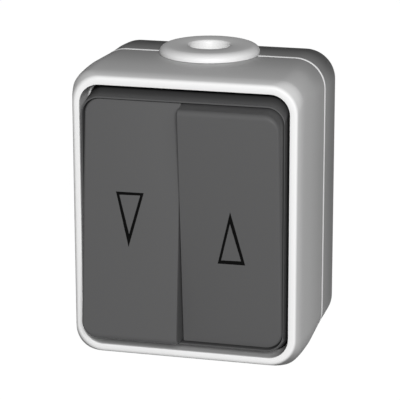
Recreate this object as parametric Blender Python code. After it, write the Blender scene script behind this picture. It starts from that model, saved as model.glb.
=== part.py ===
"""Surface-mounted roller shutter switch with two latching rockers.

Frame: metres, X to the right, Z up, the front faces -Y. The origin is on the wall face (Y = 0),
behind the centre of the front opening. Depths named "back" are measured from the rim's plane
towards the wall.
"""
import math

import bmesh
import bpy
from mathutils import Matrix, Vector

MM = 0.001

# Housing
opening_radius = 5.8 * MM
housing_depth = 44.2 * MM
base_depth = 14.9 * MM
wall = 2.2 * MM
back_wall = 2.4 * MM
# Outer side profile, as (share of the depth, offset outwards from the opening's edge)
side_profile = (
    (0.0, 1.2 * MM),
    (0.004, 1.6 * MM),
    (0.012, 1.85 * MM),
    (0.061, 2.68 * MM),
    (0.105, 3.15 * MM),
    (0.149, 3.44 * MM),
    (0.30, 3.54 * MM),
    (0.50, 3.50 * MM),
    (0.663, 3.60 * MM),
    (0.85, 3.60 * MM),
    (0.95, 3.35 * MM),
    (0.985, 3.20 * MM),
    (1.0, 2.90 * MM),
)
rim_recess = 8.6 * MM
rim_edge = 0.12 * MM
lip_width = 2.2 * MM
lip_thickness = 2.0 * MM
housing_seal_thickness = 0.6 * MM
seal_seat = 0.15 * MM
seat = 0.2 * MM
corner_steps = 6
round_steps = 40
fastener_steps = 16

# Cable entry
entry_bore_radius = 6.0 * MM
entry_lip_radius = 14.15 * MM
entry_lip_height = 2.5 * MM
entry_flat_radius = 11.6 * MM
entry_neck_radius = 9.5 * MM
entry_flange_radius = 12.0 * MM
entry_flange_thickness = 1.6 * MM

# Wall fixing
fixing_slot_inset = 11.3 * MM
fixing_slot_width = 4.4 * MM
fixing_slot_length = 8.0 * MM
fixing_seal_border = 2.2 * MM
fixing_seal_thickness = 1.0 * MM

# Rockers
rocker_half_length = 33.65 * MM
rocker_outer_edge = 27.9 * MM
rocker_end_border = 3.65 * MM
rocker_side_border = 1.45 * MM
rocker_split_gap = 0.3 * MM
rocker_corner_radius = 4.6 * MM
rocker_inner_corner_radius = 0.5 * MM
rocker_edge_fillet = 1.1 * MM
rocker_split_fillet = 0.3 * MM
rocker_proud = 4.6 * MM
rocker_face_thickness = 1.8 * MM
rocker_skirt = 7.0 * MM
rocker_skirt_wall = 1.2 * MM
rocker_draft = 0.1 * MM
pivot_behind_face = 4.6 * MM
tilt = math.radians(5.2)
lug_thickness = 1.5 * MM
lug_half_height = 2.2 * MM
running = 0.1 * MM

# Fixed inner frame round the rockers
frame_proud = 2.6 * MM
frame_side_border = 0.45 * MM
frame_end_border = 0.5 * MM
frame_shoulder = 1.5 * MM
frame_shoulder_back = 3.0 * MM
frame_side_clearance = 0.15 * MM
frame_end_clearance = 0.12 * MM
flange_thickness = 1.4 * MM
flange_border = 0.7 * MM
frame_seal_thickness = 1.15 * MM
bridge_front = 3.2 * MM
bridge_thickness = 2.0 * MM
bridge_half_height = 6.2 * MM
ear_thickness = 1.5 * MM
ear_top_wall = 0.9 * MM
pin_radius = 1.0 * MM
ear_side_clearance = 0.3 * MM

# Switch insert
plate_gap_behind_lip = 0.4 * MM
plate_thickness = 1.2 * MM
plate_half_width = 24.6 * MM
plate_half_height = 22.0 * MM
plate_corner_radius = 3.0 * MM
plate_notch_clearance = 0.4 * MM
window_half_width = 14.0 * MM
window_half_height = 15.4 * MM
cover_thickness = 1.5 * MM
block_half_width = 16.8 * MM
block_half_height = 20.0 * MM
block_depth = 17.0 * MM
block_corner_radius = 1.5 * MM
well_half_height = 10.8 * MM
well_clearance = 1.3 * MM
actuator_offset = 9.0 * MM
finger_radius = 2.6 * MM
finger_reach = 13.0 * MM
plunger_radius = 1.6 * MM
plunger_reach = 17.2 * MM
plunger_length = 8.0 * MM
plunger_bore_depth = 9.4 * MM
spring_wire_radius = 0.2 * MM
spring_turns = 5
lever_tilt = math.radians(8.0)
lever_half_length = 9.0 * MM
lever_width = 5.0 * MM
lever_thickness = 0.8 * MM
lever_front_offset = 1.0 * MM
lever_hub_radius = 1.2 * MM
lever_nose_clearance = 0.15 * MM
contact_button_radius = 1.3 * MM
contact_button_height = 0.6 * MM
contact_gap = 0.2 * MM
strip_thickness = 0.6 * MM
strip_half_width = 2.0 * MM
bar_half_height = 2.2 * MM
bar_thickness = 1.4 * MM
terminal_centre = 16.2 * MM
clamp_half_width = 2.9 * MM
clamp_half_height = 2.8 * MM
clamp_depth = 6.4 * MM
clamp_wire_radius = 1.5 * MM
terminal_screw_radius = 1.2 * MM
terminal_screw_length = 2.6 * MM
terminal_head_radius = 2.2 * MM
terminal_head_height = 1.4 * MM
chamber_clearance = 0.3 * MM

# Fasteners
pillar_radius = 3.2 * MM
insert_screw_inset = 3.7 * MM
hood_screw_side_inset = 8.75 * MM
hood_screw_end_inset = 8.4 * MM
screw_radius = 1.2 * MM
screw_length = 9.0 * MM
screw_head_radius = 2.7 * MM
screw_head_height = 1.5 * MM
screw_hole_radius = 1.7 * MM
pilot_clearance = 0.15 * MM
pilot_extra_depth = 2.0 * MM
rivet_radius = 1.1 * MM
rivet_head_radius = 1.9 * MM
rivet_head_height = 0.6 * MM
rivet_offset = 17.9 * MM

# Derived places
rim_y = -housing_depth
split_y = -base_depth
half_w = rocker_outer_edge + rocker_side_border
half_h = rocker_half_length + rocker_end_border
hood_screw_x = half_w - hood_screw_side_inset
hood_screw_z = half_h - hood_screw_end_inset
insert_screw_offset = plate_half_width - insert_screw_inset
fixing_spacing = 2 * (half_h - fixing_slot_inset)
pivot_y = rim_y - rocker_proud + pivot_behind_face
lip_front_y = rim_y + rim_recess
lip_back_y = lip_front_y + lip_thickness
rocker_half_reach = rocker_half_length * math.cos(tilt) + pivot_behind_face * math.sin(tilt)
frame_inner_half_w = rocker_outer_edge + frame_side_clearance
frame_inner_half_h = rocker_half_reach + frame_end_clearance
seal_back_y = lip_front_y - seal_seat
seal_front_y = seal_back_y - frame_seal_thickness
flange_back_y = seal_front_y - seal_seat
flange_front_y = flange_back_y - flange_thickness
plate_front_y = lip_back_y + plate_gap_behind_lip
plate_back_y = plate_front_y + plate_thickness
cover_front_y = plate_back_y + seat
cover_back_y = cover_front_y + cover_thickness
block_front_y = cover_back_y + seat
block_back_y = block_front_y + block_depth
lever_pivot_y = pivot_y + plunger_reach + lever_nose_clearance + lever_front_offset
housing_top = half_h + max(offset for share, offset in side_profile)


def clear_scene():
    for item in list(bpy.data.objects):
        bpy.data.objects.remove(item, do_unlink=True)


def material(name, colour, roughness, metallic=0.0):
    """A Principled material of its own for one piece."""
    made = bpy.data.materials.new(name)
    made.use_nodes = True
    shader = made.node_tree.nodes["Principled BSDF"]
    shader.inputs["Base Color"].default_value = (*colour, 1.0)
    shader.inputs["Roughness"].default_value = roughness
    shader.inputs["Metallic"].default_value = metallic
    return made


def mesh_object(name, bm):
    """Turn a bmesh into a linked object with outward faces."""
    bmesh.ops.remove_doubles(bm, verts=bm.verts, dist=1e-7)
    bmesh.ops.recalc_face_normals(bm, faces=bm.faces)
    mesh = bpy.data.meshes.new(name)
    bm.to_mesh(mesh)
    bm.free()
    made = bpy.data.objects.new(name, mesh)
    bpy.context.scene.collection.objects.link(made)
    return made


def rounded_outline(x0, x1, z0, z1, radii, steps=corner_steps):
    """Corner-rounded rectangle in X, Z; radii run from the +X +Z corner anticlockwise."""
    centres = (
        (x1 - radii[0], z1 - radii[0], 0.0),
        (x0 + radii[1], z1 - radii[1], 90.0),
        (x0 + radii[2], z0 + radii[2], 180.0),
        (x1 - radii[3], z0 + radii[3], 270.0),
    )
    points = []
    for (cx, cz, start), radius in zip(centres, radii):
        for step in range(steps + 1):
            angle = math.radians(start + 90.0 * step / steps)
            points.append((cx + radius * math.cos(angle), cz + radius * math.sin(angle)))
    return points


def centred_outline(half_x, half_z, radius, steps=corner_steps):
    return rounded_outline(-half_x, half_x, -half_z, half_z, (radius,) * 4, steps)


def opening_outline(offset):
    """The front opening's outline, moved outwards by an offset."""
    return centred_outline(half_w + offset, half_h + offset, max(opening_radius + offset, 0.4 * MM))


def loft(name, sections, ring_closed=False):
    """Join outlines at rising or falling Y; sections are (y, outline)."""
    bm = bmesh.new()
    rings = [[bm.verts.new((x, y, z)) for x, z in outline] for y, outline in sections]
    pairs = list(zip(rings, rings[1:]))
    if ring_closed:
        pairs.append((rings[-1], rings[0]))
    for first, second in pairs:
        count = len(first)
        for index in range(count):
            after = (index + 1) % count
            bm.faces.new((first[index], first[after], second[after], second[index]))
    if not ring_closed:
        bm.faces.new(rings[0])
        bm.faces.new(reversed(rings[-1]))
    return mesh_object(name, bm)


def block(name, x0, x1, y0, y1, z0, z1):
    bm = bmesh.new()
    bmesh.ops.create_cube(bm, size=1.0)
    bmesh.ops.scale(bm, vec=(x1 - x0, y1 - y0, z1 - z0), verts=bm.verts)
    bmesh.ops.translate(bm, vec=((x0 + x1) / 2, (y0 + y1) / 2, (z0 + z1) / 2), verts=bm.verts)
    return mesh_object(name, bm)


def turned(name, profile, axis, centre, steps=fastener_steps):
    """Revolve (radius, height) points about an axis through the centre; ends lie on the axis or close."""
    bm = bmesh.new()
    hollow = profile[0][0] > 0
    rings = []
    for radius, height in profile:
        if radius <= 0:
            rings.append([bm.verts.new((0.0, 0.0, height))])
            continue
        rings.append([
            bm.verts.new((radius * math.cos(math.tau * k / steps), radius * math.sin(math.tau * k / steps), height))
            for k in range(steps)
        ])
    pairs = list(zip(rings, rings[1:]))
    if hollow:
        pairs.append((rings[-1], rings[0]))
    for first, second in pairs:
        for k in range(steps):
            after = (k + 1) % steps
            corners = []
            for ring, index in ((first, k), (first, after), (second, after), (second, k)):
                vert = ring[index if len(ring) > 1 else 0]
                if vert not in corners:
                    corners.append(vert)
            bm.faces.new(corners)
    turn = {"X": Matrix.Rotation(math.pi / 2, 4, "Y"), "Y": Matrix.Rotation(-math.pi / 2, 4, "X"), "Z": Matrix()}
    bmesh.ops.transform(bm, matrix=Matrix.Translation(Vector(centre)) @ turn[axis], verts=bm.verts)
    return mesh_object(name, bm)


def rod(name, radius, start, end, axis, centre, steps=fastener_steps):
    """A plain round bar along an axis, from start to end on that axis."""
    return turned(name, ((0, start), (radius, start), (radius, end), (0, end)), axis, centre, steps)


def extrude_profile(name, points, x0, x1):
    """Extrude a closed (y, z) outline along X."""
    bm = bmesh.new()
    left = [bm.verts.new((x0, y, z)) for y, z in points]
    right = [bm.verts.new((x1, y, z)) for y, z in points]
    bm.faces.new(left)
    bm.faces.new(reversed(right))
    for index in range(len(points)):
        after = (index + 1) % len(points)
        bm.faces.new((left[index], right[index], right[after], left[after]))
    return mesh_object(name, bm)


def eye_outline(radius, tail_y, steps=12):
    """Side outline (y, z) of an ear with a round end about the rockers' axis and a straight tail."""
    toward = 1 if tail_y > pivot_y else -1
    points = [(tail_y, -radius), (tail_y, radius)]
    for step in range(steps + 1):
        angle = math.pi / 2 + math.pi * step / steps
        points.append((pivot_y + toward * radius * math.cos(angle), radius * math.sin(angle)))
    return points


def combine(target, tools, operation):
    """Apply a Boolean with each tool in turn and remove the tools."""
    for tool in tools:
        change = target.modifiers.new("change", "BOOLEAN")
        change.operation = operation
        change.solver = "EXACT"
        change.object = tool
        bpy.context.view_layer.update()
        graph = bpy.context.evaluated_depsgraph_get()
        fresh = bpy.data.meshes.new_from_object(target.evaluated_get(graph))
        target.modifiers.clear()
        target.data = fresh
        bpy.data.objects.remove(tool, do_unlink=True)
    return target


def join(target, *tools):
    return combine(target, tools, "UNION")


def cut(target, *tools):
    return combine(target, tools, "DIFFERENCE")


def finish(made, name, colour, roughness, metallic=0.0, sharp=35.0):
    """Name a finished piece, smooth its round faces and give it a material of its own."""
    made.name = name
    made.data.name = name
    made.data.materials.clear()
    made.data.materials.append(material(name, colour, roughness, metallic))
    made.data.shade_smooth()
    made.data.set_sharp_from_angle(angle=math.radians(sharp))
    return made


def move_origin(made, point):
    """Put an object's origin on a point without moving its surface."""
    made.data.transform(Matrix.Translation(-Vector(point)))
    made.location = point
    return made


def profile_offset(share):
    """Outer offset at a share of the depth, read along the side profile."""
    for (s0, o0), (s1, o1) in zip(side_profile, side_profile[1:]):
        if s0 <= share <= s1:
            return o0 + (o1 - o0) * (share - s0) / (s1 - s0)
    return side_profile[-1][1]


def outer_sections(from_y, to_y):
    """Outer outlines of the housing between two Y places, front to back."""
    from_share = 1.0 + from_y / housing_depth
    to_share = 1.0 + to_y / housing_depth
    shares = [from_share] + [s for s, o in side_profile if from_share < s < to_share] + [to_share]
    return [((s - 1.0) * housing_depth, opening_outline(profile_offset(s))) for s in shares]


def build_hood():
    """Front shell: flat rim, recess with a lip that carries the inner frame, open back."""
    back_y = split_y - housing_seal_thickness / 2 - seal_seat
    inner = profile_offset(0.6) - wall
    sections = outer_sections(rim_y, back_y)
    sections += [
        (back_y, opening_outline(inner)),
        (lip_back_y, opening_outline(inner)),
        (lip_back_y, opening_outline(-lip_width)),
        (lip_front_y, opening_outline(-lip_width)),
        (lip_front_y, opening_outline(0.0)),
        (rim_y + rim_edge, opening_outline(0.0)),
        (rim_y, opening_outline(rim_edge)),
    ]
    hood = loft("hood", sections, ring_closed=True)
    ear_reach = screw_head_radius + 1.2 * MM
    for sign in (-1, 1):
        x = sign * hood_screw_x
        z = -sign * hood_screw_z
        ear = rod("ear", ear_reach, lip_front_y + 0.05 * MM, lip_back_y - 0.05 * MM, "Y", (x, 0, z), 32)
        web = block(
            "web", *sorted((x, sign * (half_w + 0.5 * MM))),
            lip_front_y + 0.1 * MM, lip_back_y - 0.1 * MM,
            *sorted((z + sign * ear_reach * 0.98, -sign * (half_h + 0.5 * MM))),
        )
        join(hood, web, ear)
    for sign in (-1, 1):
        hole = rod("hole", screw_hole_radius, lip_front_y - 1 * MM, lip_back_y + 1 * MM, "Y",
                   (sign * hood_screw_x, 0, -sign * hood_screw_z))
        cut(hood, hole)
    cut(hood, entry_notch())
    return finish(hood, "hood", (0.62, 0.62, 0.62), 0.5)


def entry_notch():
    return rod("notch", entry_neck_radius + seat, half_h - 2 * MM, housing_top + 5 * MM, "Z",
               (0, split_y, 0), round_steps)


def pillar_places():
    """Base pillars as (x, z, front end's Y)."""
    return (
        (-insert_screw_offset, 0.0, plate_back_y + seat),
        (insert_screw_offset, 0.0, plate_back_y + seat),
        (-hood_screw_x, hood_screw_z, lip_back_y + seat),
        (hood_screw_x, -hood_screw_z, lip_back_y + seat),
    )


def slot_outline(width, length, vertical, centre_z):
    half = (width / 2, length / 2) if vertical else (length / 2, width / 2)
    radius = width / 2 - 0.01 * MM
    return rounded_outline(-half[0], half[0], centre_z - half[1], centre_z + half[1], (radius,) * 4)


def build_base_box():
    """Rear shell: back wall with fixing slots, screw pillars and half of the cable entry."""
    front_y = split_y + housing_seal_thickness / 2 + seal_seat
    inner = profile_offset(0.8) - wall
    sections = outer_sections(front_y, 0.0)
    sections += [
        (0.0, opening_outline(-4.0 * MM)),
        (-0.3 * MM, opening_outline(-4.6 * MM)),
    ]
    shell = loft("base_box", sections)
    hollow = loft("hollow", [
        (front_y - 5 * MM, opening_outline(inner)),
        (-back_wall - 1.2 * MM, opening_outline(inner)),
        (-back_wall - 0.35 * MM, opening_outline(inner - 0.35 * MM)),
        (-back_wall, opening_outline(inner - 1.2 * MM)),
    ])
    cut(shell, hollow)
    for x, z, end_y in pillar_places():
        foot = pillar_radius + 0.8 * MM
        pillar = turned("pillar", (
            (0, end_y), (pillar_radius, end_y), (pillar_radius, -back_wall - 2.4 * MM),
            (foot, -back_wall + 0.5 * MM), (0, -back_wall + 0.5 * MM),
        ), "Y", (x, 0, z), 20)
        join(shell, pillar)
        pilot = rod("pilot", screw_radius + pilot_clearance, end_y - 1 * MM,
                    end_y + screw_length + pilot_extra_depth, "Y", (x, 0, z))
        cut(shell, pilot)
    for sign in (-1, 1):
        slot = loft("slot", [
            (-back_wall - 1 * MM, slot_outline(fixing_slot_width, fixing_slot_length, sign > 0, sign * fixing_spacing / 2)),
            (1 * MM, slot_outline(fixing_slot_width, fixing_slot_length, sign > 0, sign * fixing_spacing / 2)),
        ])
        cut(shell, slot)
    cut(shell, entry_notch())
    return finish(shell, "base_box", (0.55, 0.55, 0.55), 0.5)


def build_housing_seal():
    """Flat seal between the two shells, open where the cable entry passes."""
    y0 = split_y - housing_seal_thickness / 2
    y1 = split_y + housing_seal_thickness / 2
    outer = profile_offset(1.0 + split_y / housing_depth) - 0.1 * MM
    inner = outer - wall + 0.3 * MM
    seal = loft("housing_seal", [
        (y0, opening_outline(outer)), (y1, opening_outline(outer)),
        (y1, opening_outline(inner)), (y0, opening_outline(inner)),
    ], ring_closed=True)
    cut(seal, entry_notch())
    return finish(seal, "housing_seal", (0.8, 0.8, 0.8), 0.6)


def build_grommet():
    """Turned cable sleeve held in the half-round notches of both shells."""
    inner_top = half_h + profile_offset(0.6) - wall - seat
    inner_bottom = inner_top - entry_flange_thickness
    lip_bottom = housing_top + seat
    top = lip_bottom + entry_lip_height
    edge = 0.5 * MM
    shoulder = entry_lip_radius - entry_flat_radius
    profile = [
        (entry_bore_radius, inner_bottom),
        (entry_flange_radius - edge, inner_bottom),
        (entry_flange_radius, inner_bottom + edge),
        (entry_flange_radius, inner_top),
        (entry_neck_radius, inner_top),
        (entry_neck_radius, lip_bottom),
        (entry_lip_radius - edge, lip_bottom),
        (entry_lip_radius, lip_bottom + edge),
    ]
    for step in range(5):
        angle = math.pi / 2 * step / 4
        profile.append((
            entry_flat_radius + shoulder * math.cos(angle),
            top - (entry_lip_height - 1.3 * edge) * (1 - math.sin(angle)),
        ))
    profile += [(entry_bore_radius + 0.6 * MM, top), (entry_bore_radius, top - 0.6 * MM)]
    sleeve = turned("cable_grommet", profile, "Z", (0, split_y, 0), round_steps)
    return finish(sleeve, "cable_grommet", (0.72, 0.72, 0.72), 0.55)


def build_fixing_seal(sign, name):
    y1 = -back_wall - seat
    y0 = y1 - fixing_seal_thickness
    centre = sign * fixing_spacing / 2
    border = 2 * fixing_seal_border
    outer = slot_outline(fixing_slot_width + border, fixing_slot_length + border, sign > 0, centre)
    inner = slot_outline(fixing_slot_width, fixing_slot_length, sign > 0, centre)
    seal = loft(name, [(y0, outer), (y1, outer), (y1, inner), (y0, inner)], ring_closed=True)
    return finish(seal, name, (0.05, 0.05, 0.05), 0.8)


def frame_outline(grow_x, grow_z):
    radius = rocker_corner_radius + frame_side_clearance + min(grow_x, grow_z)
    return centred_outline(frame_inner_half_w + grow_x, frame_inner_half_h + grow_z, radius)


def build_rocker_frame():
    """Collar round both rockers, with the bridge and ears that hold the axle."""
    front_y = rim_y - frame_proud
    shoulder_y = rim_y + frame_shoulder_back
    side = frame_side_border
    end = frame_end_border
    round_over = 0.15 * MM
    flange_x = half_w - flange_border - frame_inner_half_w
    flange_z = half_h - flange_border - frame_inner_half_h
    sections = [
        (flange_back_y, frame_outline(0, 0)),
        (front_y, frame_outline(0, 0)),
        (front_y, frame_outline(side - round_over, end - round_over)),
        (front_y + 0.2 * MM, frame_outline(side, end)),
        (shoulder_y, frame_outline(side, end + frame_shoulder)),
        (flange_front_y, frame_outline(side, end + frame_shoulder)),
        (flange_front_y, frame_outline(flange_x, flange_z)),
        (flange_back_y, frame_outline(flange_x, flange_z)),
    ]
    frame = loft("rocker_frame", sections, ring_closed=True)
    bridge_y = pivot_y + bridge_front
    reach = frame_inner_half_w + side / 2
    bridge = block("bridge", -reach, reach, bridge_y, bridge_y + bridge_thickness,
                   -bridge_half_height, bridge_half_height)
    join(frame, bridge)
    swing = (bridge_front + bridge_thickness) * math.sin(tilt)
    for sign in (-1, 1):
        hole = rod("hole", finger_radius + swing + 0.5 * MM, bridge_y - 1 * MM,
                   bridge_y + bridge_thickness + 1 * MM, "Y", (sign * actuator_offset, 0, 0), 32)
        cut(frame, hole)
    ear_radius = pin_radius + ear_top_wall
    for x0 in ear_places():
        ear = extrude_profile("ear", eye_outline(ear_radius, bridge_y + 0.5 * MM), x0, x0 + ear_thickness)
        join(frame, ear)
    reach = axle_half_length() + 1 * MM
    cut(frame, rod("bore", pin_radius + running / 2, -reach, reach, "X", (0, pivot_y, 0), 24))
    return finish(frame, "rocker_frame", (0.1, 0.1, 0.1), 0.45)


def lug_places(sign):
    """Left edges of a rocker's two bearing lugs."""
    inner = rocker_split_gap / 2 + rocker_skirt_wall + 2 * ear_side_clearance + ear_thickness
    outer = rocker_outer_edge - rocker_skirt_wall - 2 * ear_side_clearance - ear_thickness - lug_thickness
    places = (inner, outer)
    return [x if sign > 0 else -x - lug_thickness for x in places]


def ear_places():
    """Left edges of the frame's four axle ears, each beside a lug of a rocker."""
    inner = rocker_split_gap / 2 + rocker_skirt_wall + ear_side_clearance
    outer = rocker_outer_edge - rocker_skirt_wall - ear_side_clearance - ear_thickness
    return (-outer - ear_thickness, -inner - ear_thickness, inner, outer)


def axle_half_length():
    return rocker_outer_edge - rocker_skirt_wall - ear_side_clearance - 0.1 * MM


def build_axle():
    half = axle_half_length()
    chamfer = 0.25 * MM
    pin = turned("rocker_axle", (
        (0, -half), (pin_radius - chamfer, -half), (pin_radius, -half + chamfer),
        (pin_radius, half - chamfer), (pin_radius - chamfer, half), (0, half),
    ), "X", (0, pivot_y, 0), 24)
    return finish(pin, "rocker_axle", (0.6, 0.6, 0.6), 0.3, 1.0)


def rocker_outline(sign, inset_out, inset_split):
    """A rocker's outline: rounded towards the housing, nearly square at the split."""
    inner = rocker_split_gap / 2 + inset_split
    outer = rocker_outer_edge - inset_out
    half = rocker_half_length - inset_out
    round_out = max(rocker_corner_radius - inset_out, 0.4 * MM)
    round_in = rocker_inner_corner_radius
    if sign > 0:
        return rounded_outline(inner, outer, -half, half, (round_out, round_in, round_in, round_out))
    return rounded_outline(-outer, -inner, -half, half, (round_in, round_out, round_out, round_in))


def build_rocker(sign, name):
    """Hollow rocker cap with bearing lugs and the finger that works the contact lever."""
    face = pivot_y - pivot_behind_face
    back = face + rocker_skirt
    under = face + rocker_face_thickness
    sections = [
        (under, rocker_outline(sign, rocker_skirt_wall + 0.5 * MM, rocker_skirt_wall + 0.3 * MM)),
        (under + 0.8 * MM, rocker_outline(sign, rocker_skirt_wall, rocker_skirt_wall)),
        (back, rocker_outline(sign, rocker_skirt_wall, rocker_skirt_wall)),
        (back, rocker_outline(sign, rocker_draft, 0)),
    ]
    fillet_steps = 4
    for step in range(fillet_steps + 1):
        angle = math.pi / 2 * step / fillet_steps
        sections.append((
            face + rocker_edge_fillet * (1 - math.sin(angle)),
            rocker_outline(sign, rocker_edge_fillet * (1 - math.cos(angle)), rocker_split_fillet * (1 - math.cos(angle))),
        ))
    rocker = loft(name, sections)
    for x0 in lug_places(sign):
        lug = extrude_profile("lug", eye_outline(lug_half_height, under - 0.4 * MM, 8), x0, x0 + lug_thickness)
        join(rocker, lug)
    finger_end = pivot_y + finger_reach
    x = sign * actuator_offset
    finger = turned("finger", (
        (0, under - 0.4 * MM), (finger_radius + 1.0 * MM, under - 0.4 * MM), (finger_radius, under + 1.6 * MM),
        (finger_radius, finger_end - 0.4 * MM), (finger_radius - 0.4 * MM, finger_end), (0, finger_end),
    ), "Y", (x, 0, 0), 24)
    join(rocker, finger)
    cut(rocker, rod("bore", plunger_radius + running, finger_end - plunger_bore_depth, finger_end + 1 * MM,
                    "Y", (x, 0, 0), 20))
    reach = axle_half_length() + 0.2 * MM
    cut(rocker, rod("pin_hole", pin_radius + running, -reach, reach, "X", (0, pivot_y, 0), 24))
    clip = pin_radius + running - 0.02 * MM
    skirt_end = rocker_split_gap / 2 + rocker_skirt_wall + 0.15 * MM
    notch = block("notch", *sorted((-sign * 1 * MM, sign * skirt_end)), pivot_y, back + 1 * MM, -clip, clip)
    cut(rocker, notch)
    move_origin(rocker, (0, pivot_y, 0))
    rocker.rotation_euler.x = sign * tilt
    return finish(rocker, name, (0.11, 0.11, 0.11), 0.45)


def build_plunger(sign, name):
    """Round-nosed pin that slides in the rocker's finger and rides on the contact lever."""
    tip = pivot_y + plunger_reach
    start = tip - plunger_length
    profile = [(0, start), (plunger_radius - 0.3 * MM, start), (plunger_radius, start + 0.3 * MM)]
    for step in range(6):
        angle = math.pi / 2 * step / 5
        profile.append((plunger_radius * math.cos(angle), tip - plunger_radius * (1 - math.sin(angle))))
    profile[-1] = (0, tip)
    pin = turned(name, profile, "Y", (sign * actuator_offset, 0, 0))
    move_origin(pin, (0, pivot_y, 0))
    pin.rotation_euler.x = sign * tilt
    return finish(pin, name, (0.75, 0.72, 0.65), 0.4)


def build_plunger_spring(sign, name):
    """Coil spring between the bore's end and the plunger."""
    end = pivot_y + plunger_reach - plunger_length - seat
    start = pivot_y + finger_reach - plunger_bore_depth + seat
    steps = 10
    sides = 5
    radius = plunger_radius - running - spring_wire_radius - 0.1 * MM
    rise = end - start - 2 * spring_wire_radius
    bm = bmesh.new()
    rings = []
    for index in range(spring_turns * steps + 1):
        angle = math.tau * index / steps
        y = start + spring_wire_radius + rise * index / (spring_turns * steps)
        out = Vector((math.cos(angle), 0, math.sin(angle)))
        centre = Vector((sign * actuator_offset, y, 0)) + out * radius
        rings.append([
            bm.verts.new(centre + (out * math.cos(math.tau * k / sides) + Vector((0, 1, 0)) * math.sin(math.tau * k / sides))
                         * spring_wire_radius)
            for k in range(sides)
        ])
    for first, second in zip(rings, rings[1:]):
        for k in range(sides):
            after = (k + 1) % sides
            bm.faces.new((first[k], first[after], second[after], second[k]))
    bm.faces.new(rings[0])
    bm.faces.new(reversed(rings[-1]))
    coil = mesh_object(name, bm)
    move_origin(coil, (0, pivot_y, 0))
    coil.rotation_euler.x = sign * tilt
    return finish(coil, name, (0.6, 0.6, 0.6), 0.3, 1.0)


def build_contact_lever(sign, name):
    """Two-armed contact lever with a rounded hub that sits in the common bar's groove."""
    front = -lever_front_offset
    back = front + lever_thickness
    hub_z = math.sqrt(lever_hub_radius ** 2 - back ** 2)
    points = [(front, -lever_half_length), (front, lever_half_length), (back, lever_half_length)]
    start = math.atan2(hub_z, back)
    for step in range(11):
        angle = start - 2 * start * step / 10
        points.append((lever_hub_radius * math.cos(angle), lever_hub_radius * math.sin(angle)))
    points.append((back, -lever_half_length))
    x = sign * actuator_offset
    lever = extrude_profile(name, points, x - lever_width / 2, x + lever_width / 2)
    button = rod("button", contact_button_radius, back - 0.3 * MM, back + contact_button_height, "Y",
                 (x, 0, button_side(sign) * (lever_half_length - contact_button_radius)), 20)
    join(lever, button)
    lever.location = (0, lever_pivot_y, 0)
    lever.rotation_euler.x = -sign * lever_tilt
    return finish(lever, name, (0.8, 0.6, 0.3), 0.35, 1.0)


def button_side(sign):
    """The left rocker closes at the upper end of its lever, the right one at the lower end."""
    return -sign


def closed_button_back():
    """Depth of the lever button's face when the contact is closed."""
    along = lever_half_length - contact_button_radius
    face = -lever_front_offset + lever_thickness + contact_button_height
    return lever_pivot_y + face * math.cos(lever_tilt) + (along + contact_button_radius) * math.sin(lever_tilt)


def strip_front_y():
    return closed_button_back() + contact_gap + contact_button_height


def bar_front_y():
    """The common bar lies just behind the hubs' centres and holds them in its groove."""
    return lever_pivot_y + 0.35 * MM


def bar_back_y():
    return lever_pivot_y + lever_hub_radius + running + bar_thickness


def well_back_y():
    """The wells' floor lies behind the deeper of the bar and the strips."""
    return max(bar_back_y() + 0.05 * MM, strip_front_y() + strip_thickness) + seat


def build_fixed_contact(sign, name):
    """Strip with a contact button in the well and a tail on the terminal clamp."""
    end = button_side(sign)
    x = sign * actuator_offset
    front = strip_front_y()
    near = lever_half_length - 2 * contact_button_radius - 0.4 * MM
    far = terminal_centre + clamp_half_height - 0.4 * MM
    strip = block(name, x - strip_half_width, x + strip_half_width, front, front + strip_thickness,
                  *sorted((end * near, end * far)))
    button = rod("button", contact_button_radius, front - contact_button_height, front + 0.3 * MM, "Y",
                 (x, 0, end * (lever_half_length - contact_button_radius)), 20)
    join(strip, button)
    return finish(strip, name, (0.8, 0.6, 0.3), 0.35, 1.0)


def build_common_bar():
    """Bar under both levers, with a tail to the line terminal."""
    reach = actuator_offset + lever_width / 2 + 0.6 * MM
    bar = block("common_bar", -reach, reach, bar_front_y(), bar_back_y(), -bar_half_height, bar_half_height)
    cut(bar, rod("groove", lever_hub_radius + running, -reach - 1 * MM, reach + 1 * MM, "X",
                 (0, lever_pivot_y, 0), 32))
    x = actuator_offset
    far = terminal_centre + clamp_half_height - 0.4 * MM
    tail = block("tail", x - strip_half_width, x + strip_half_width, bar_back_y() - strip_thickness,
                 bar_back_y() + 0.05 * MM, bar_half_height - 0.5 * MM, far)
    join(bar, tail)
    return finish(bar, "common_bar", (0.8, 0.6, 0.3), 0.35, 1.0)


def terminal_places():
    """Terminals as (name, x, side of Z, depth of the strip's back face)."""
    strip_back = strip_front_y() + strip_thickness
    return (
        ("down", -actuator_offset, button_side(-1), strip_back),
        ("up", actuator_offset, button_side(1), strip_back),
        ("line", actuator_offset, 1, bar_back_y() + 0.05 * MM),
    )


def clamp_front_y():
    """All clamps stand at one depth, behind the deeper of the strips."""
    return max(back for name, x, side, back in terminal_places()) + seat


def build_clamp(name, x, side):
    z = side * terminal_centre
    y0 = clamp_front_y()
    y1 = y0 + clamp_depth
    outline = rounded_outline(x - clamp_half_width, x + clamp_half_width, z - clamp_half_height,
                              z + clamp_half_height, (0.5 * MM,) * 4, 2)
    clamp = loft(name, [(y0, outline), (y1, outline)])
    wire_y = y0 + clamp_wire_radius + 0.9 * MM
    cut(clamp, rod("wire_hole", clamp_wire_radius, z - 2 * clamp_half_height, z + 2 * clamp_half_height, "Z",
                   (x, wire_y, 0)))
    cut(clamp, rod("screw_hole", terminal_screw_radius + pilot_clearance, wire_y, y1 + 1 * MM, "Y", (x, 0, z)))
    return finish(clamp, name, (0.75, 0.6, 0.35), 0.35, 1.0)


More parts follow.
